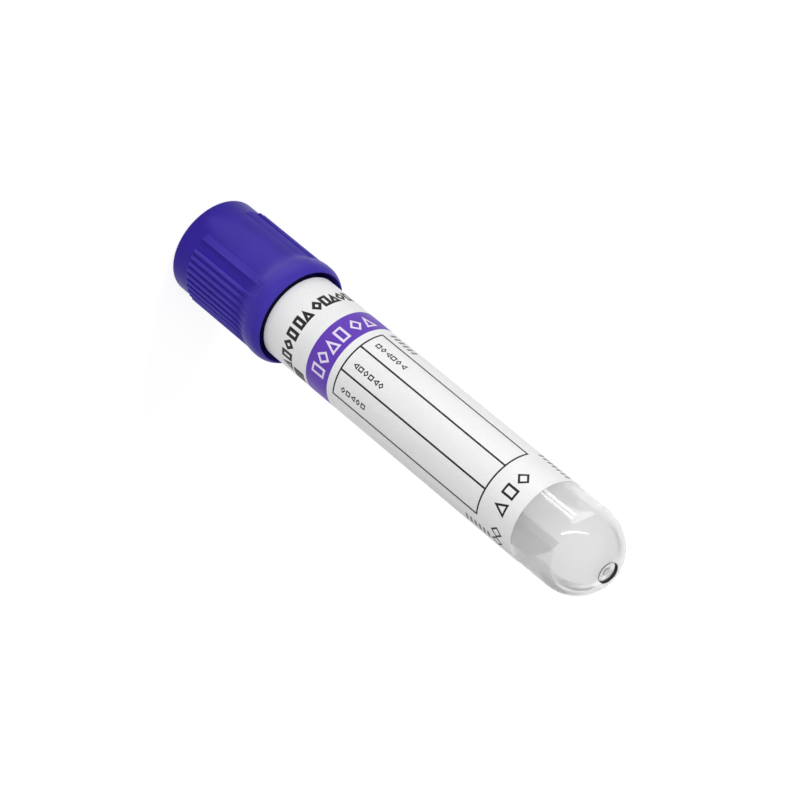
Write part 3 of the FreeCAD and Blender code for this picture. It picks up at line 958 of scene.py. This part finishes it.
def printed_film(ink):
    """Satin film in one ink: fine mottle in its tone, and a faint ripple from being glued down."""
    material = new_material("label_" + ink)
    nodes = Nodes(material.node_tree)
    place = nodes.add("ShaderNodeTexCoord").outputs["Object"]
    shader = nodes.add("ShaderNodeBsdfPrincipled")
    shader.inputs["Specular IOR Level"].default_value = FILM_GLOSS
    colour = INK_COLOURS[ink]
    mottle = nodes.spread(nodes.noise(place, MOTTLE_MM, MOTTLE_DETAIL), 0.0, 1.0)
    darker = tuple(channel * MOTTLE_DARK for channel in colour)
    lighter = tuple(min(1.0, channel * MOTTLE_LIGHT) for channel in colour)
    nodes.join(nodes.blend(mottle, darker, lighter), shader.inputs["Base Color"])
    # the film's back glows though it is no lamp: a painted glow
    if ink in PAINTED_BACK_GLOW:
        shader.inputs["Emission Color"].default_value = grey(1.0)
        shader.inputs["Emission Strength"].default_value = PAINTED_BACK_GLOW[ink]
    ripple = nodes.noise(place, RIPPLE_MM, RIPPLE_DETAIL)
    roughness = nodes.spread(ripple, FILM_SMOOTHEST, FILM_ROUGHEST)
    nodes.join(roughness, shader.inputs["Roughness"])
    nodes.join(nodes.bump(ripple, RIPPLE_BUMP, RIPPLE_BUMP_MM), shader.inputs["Normal"])
    output = nodes.add("ShaderNodeOutputMaterial")
    nodes.join(shader.outputs["BSDF"], output.inputs["Surface"])
    return material


# ---------------------------------------------------------------- the stopper

def stopper():
    """The rubber stopper keeps its CAD shape and gets a matt dark rubber, partly its own colour and
    partly painted shade: darkened and tinted navy so that the gap under the shield shows dark.
    """
    node = frame["nodes"]["rubber_stopper"]
    rubber = moulded("dark_rubber", srgb(26, 17, 58), rough=0.62, grain_mm=0.2, tone=0.1,
                     bump_mm=0.01, gloss=0.25)
    for slot in node.material_slots:
        slot.material = rubber


# ---------------------------------------------------------------- the studio

SEEN_BY = ("Is Camera Ray", "Is Glossy Ray", "Is Transmission Ray")
ROOM_LIGHT = 0.5
ROOM_LOW = (0.55, 0.55, 0.56, 1.0)
ROOM_HIGH = (0.85, 0.85, 0.86, 1.0)
ROOM_RISE = 0.9             # the room is palest from this high up
BENCH_REACH = 3.0           # in metres
BENCH_BOUNCE = 0.8          # how pale the bench is to the light that it throws on the object
BENCH_MATT = 0.35           # where it is seen, it takes shadow like a surface this pale
BENCH_GLOW = 0.8            # and glows this much, so that it is white outside the shadow
LAMP_AIM = 45.0
CARD_STEPS = 16


def seen(nodes):
    """1 for the camera, in gloss and through the clear tube, and 0 for the light on the object."""
    ray = nodes.add("ShaderNodeLightPath")
    total = ray.outputs[SEEN_BY[0]]
    for name in SEEN_BY[1:]:
        larger = nodes.add("ShaderNodeMath", operation="MAXIMUM")
        nodes.join(total, larger.inputs[0])
        nodes.join(ray.outputs[name], larger.inputs[1])
        total = larger.outputs[0]
    return total


def floor():
    """A plain white bench. It shows the object's shadow, and is white where it is unshadowed."""
    mesh = bpy.data.meshes.new("bench")
    corners = []
    for side, depth in ((-1, -1), (1, -1), (1, 1), (-1, 1)):
        corners.append((side * BENCH_REACH, depth * BENCH_REACH, 0))
    mesh.from_pydata(corners, [], [(0, 1, 2, 3)])
    piece = add_object("bench", mesh)
    material = new_material("bench_white")
    nodes = Nodes(material.node_tree)
    bounce = nodes.add("ShaderNodeBsdfDiffuse")
    bounce.inputs["Color"].default_value = grey(BENCH_BOUNCE)
    matt = nodes.add("ShaderNodeBsdfDiffuse")
    matt.inputs["Color"].default_value = grey(BENCH_MATT)
    glow = nodes.add("ShaderNodeEmission")
    glow.inputs["Strength"].default_value = BENCH_GLOW
    white = nodes.add("ShaderNodeAddShader")
    nodes.join(matt.outputs["BSDF"], white.inputs[0])
    nodes.join(glow.outputs["Emission"], white.inputs[1])
    pick = nodes.add("ShaderNodeMixShader")
    nodes.join(seen(nodes), pick.inputs["Fac"])
    nodes.join(bounce.outputs["BSDF"], pick.inputs[1])
    nodes.join(white.outputs["Shader"], pick.inputs[2])
    output = nodes.add("ShaderNodeOutputMaterial")
    nodes.join(pick.outputs["Shader"], output.inputs["Surface"])
    mesh.materials.append(material)


def world():
    """A white room where it is seen, and a softer one that lights the object."""
    setting = bpy.data.worlds.new("studio")
    setting.use_nodes = True
    nodes = Nodes(setting.node_tree)
    setting.node_tree.nodes.clear()
    white = nodes.add("ShaderNodeBackground")
    white.inputs["Color"].default_value = grey(1.0)
    white.inputs["Strength"].default_value = 1.0
    room = nodes.add("ShaderNodeBackground")
    way = nodes.add("ShaderNodeTexCoord").outputs["Generated"]
    split = nodes.add("ShaderNodeSeparateXYZ")
    nodes.join(way, split.inputs["Vector"])
    ramp = nodes.add("ShaderNodeValToRGB")
    low, high = ramp.color_ramp.elements
    low.position = 0.0
    low.color = ROOM_LOW
    high.position = ROOM_RISE
    high.color = ROOM_HIGH
    nodes.join(split.outputs["Z"], ramp.inputs["Fac"])
    nodes.join(ramp.outputs["Color"], room.inputs["Color"])
    room.inputs["Strength"].default_value = ROOM_LIGHT
    pick = nodes.add("ShaderNodeMixShader")
    nodes.join(seen(nodes), pick.inputs["Fac"])
    nodes.join(room.outputs["Background"], pick.inputs[1])
    nodes.join(white.outputs["Background"], pick.inputs[2])
    output = nodes.add("ShaderNodeOutputWorld")
    nodes.join(pick.outputs["Shader"], output.inputs["Surface"])
    bpy.context.scene.world = setting


def soft_box(name, width, depth, power):
    """A rectangular light that the camera doesn't see. Its sides are in metres."""
    light = bpy.data.lights.new(name, "AREA")
    light.shape = "RECTANGLE"
    light.size = width
    light.size_y = depth
    light.energy = power
    item = add_object(name, light)
    item.visible_camera = False
    return item


def power_for(level, width, depth):
    """The power of a soft box that shows in gloss at a level, where 1 is white."""
    return level * math.pi * width * depth


def lamp(name, turn, distance, height, size, power):
    """A soft box that stands at a turn from the front and looks at the object. In mm."""
    item = soft_box(name, size[0] * MM, size[1] * MM, power)
    item.location = point(distance, turn, height)
    aim = Vector((0, 0, LAMP_AIM * MM)) - item.location
    item.rotation_euler = aim.to_track_quat("-Z", "Y").to_euler()
    return item


def strip(name, start, end, width, level):
    """A long light from start to end that faces the round bottom and shows only as gloss."""
    along = end - start
    wide = width * MM
    item = soft_box(name, wide, along.length, power_for(level, wide, along.length))
    item.location = (start + end) / 2
    to_dome = Vector((0, 0, (TUBE_POLE - TUBE_R) * MM)) - item.location
    side = along.cross(to_dome).normalized()
    out = along.cross(side).normalized()
    item.rotation_euler = Matrix((side, out.cross(side), out)).transposed().to_euler()
    item.visible_diffuse = False
    return item


def lights():
    """Three soft boxes for the room, and the strips that draw the streaks on the round bottom."""
    key = lamp("key_light", turn=-60, distance=650, height=460, size=(260, 260), power=2.0)
    front = lamp("front_light", turn=5, distance=700, height=400, size=(1000, 800), power=2.9)
    lamp("back_light", turn=150, distance=700, height=450, size=(900, 700), power=0.6)
    for item in (key, front):
        item.visible_glossy = False
        item.visible_transmission = False
    strip("streak_light_a", point(80, -56, 0.3), point(150, -56, 0.3), width=16, level=5.0)
    strip("streak_light_b", point(80, -45, 0.3), point(150, -45, 0.3), width=12, level=5.0)
    glow = strip("side_glow", point(130, -62, 0.2), point(420, -62, 0.2), width=260, level=1.3)
    glow.data.shape = "ELLIPSE"
    strip("slant_light", point(230, 0, 5), point(400, -47, 250), width=22, level=5.0)


# the sheen light's corners on the bench, in mm, how high it lies, and how bright it shows
SHEEN_FROM = (-60.0, -60.0)
SHEEN_TO = (-3.0, -8.0)
SHEEN_LIFT = 0.5
SHEEN_LEVEL = 2.2


def sheen_light(piece):
    """A light flat on the bench beside the tube, which only the shield's gloss picks up."""
    low, high = Vector((*SHEEN_FROM, SHEEN_LIFT)), Vector((*SHEEN_TO, SHEEN_LIFT))
    size = (high - low) * MM
    item = soft_box("sheen_light", size.x, size.y, power_for(SHEEN_LEVEL, size.x, size.y))
    item.location = (low + high) / 2 * MM
    item.rotation_euler = (math.pi, 0.0, 0.0)
    item.visible_diffuse = False
    item.visible_transmission = False
    receivers = bpy.data.collections.new("sheen_receivers")
    receivers.objects.link(piece)
    item.light_linking.receiver_collection = receivers


def grey_card(name, first, last, low, high, level, in_gloss):
    """A grey card round the tube, between two turns, from low to high: (radius, height).

    It shows only through the clear tube, and in gloss too where in_gloss is set.
    """
    material = new_material(name)
    nodes = Nodes(material.node_tree)
    glow = nodes.add("ShaderNodeEmission")
    glow.inputs["Strength"].default_value = level
    output = nodes.add("ShaderNodeOutputMaterial")
    nodes.join(glow.outputs["Emission"], output.inputs["Surface"])
    places = []
    faces = []
    for step in range(CARD_STEPS + 1):
        turn = first + (last - first) * step / CARD_STEPS
        places += [point(low[0], turn, low[1]), point(high[0], turn, high[1])]
    for step in range(CARD_STEPS):
        faces.append((2 * step, 2 * step + 2, 2 * step + 3, 2 * step + 1))
    mesh = bpy.data.meshes.new(name)
    mesh.from_pydata(places, [], faces)
    mesh.materials.append(material)
    card = add_object(name, mesh)
    card.visible_camera = False
    card.visible_diffuse = False
    card.visible_glossy = in_gloss
    card.visible_shadow = False


def grey_cards():
    """Two cards behind the tube, which draw the clear dome's edges in grey, and two on the bench, a
    painted shadow of the tube seen through the clear tube and in gloss.
    """
    behind_low, behind_high = (1200, 80), (1200, 340)
    grey_card("card_behind_left", 112, 163, behind_low, behind_high, level=0.12, in_gloss=False)
    grey_card("card_behind_right", -163, -112, behind_low, behind_high, level=0.5, in_gloss=False)
    # a painted shadow: grey sheets on the bench where the tube's shadow falls
    grey_card("bench_shadow_near", 40, 165, (75, 0.2), (140, 0.2), level=0.62, in_gloss=True)
    grey_card("bench_shadow_far", 40, 165, (140, 0.2), (520, 0.2), level=0.45, in_gloss=True)


# in mm and degrees
VIEW_AIM = 42.05
VIEW_DISTANCE = 635.2
VIEW_ELEVATION = 34.87
VIEW_ROLL = 129.72
VIEW_LENS = 207.4
VIEW_SENSOR = 36.0


def camera():
    """The camera looks at the middle of the standing tube, from above the front.

    It is rolled, so that the tube lies across its view, with the closure at the upper left.
    """
    data = bpy.data.cameras.new("camera")
    data.lens = VIEW_LENS
    data.sensor_width = VIEW_SENSOR
    item = add_object("camera", data)
    level = math.cos(math.radians(VIEW_ELEVATION)) * VIEW_DISTANCE
    rise = math.sin(math.radians(VIEW_ELEVATION)) * VIEW_DISTANCE
    item.location = point(level, 0, VIEW_AIM + rise)
    tilt = Euler((math.radians(90 - VIEW_ELEVATION), 0, 0)).to_matrix()
    roll = Matrix.Rotation(math.radians(VIEW_ROLL), 3, "Z")
    item.rotation_euler = (tilt @ roll).to_euler()
    bpy.context.scene.camera = item


clear_tube()
purple_shield = shield()
label()
stopper()
floor()
world()
grey_cards()
lights()
sheen_light(purple_shield)
camera()
bpy.context.scene.view_settings.view_transform = "Standard"
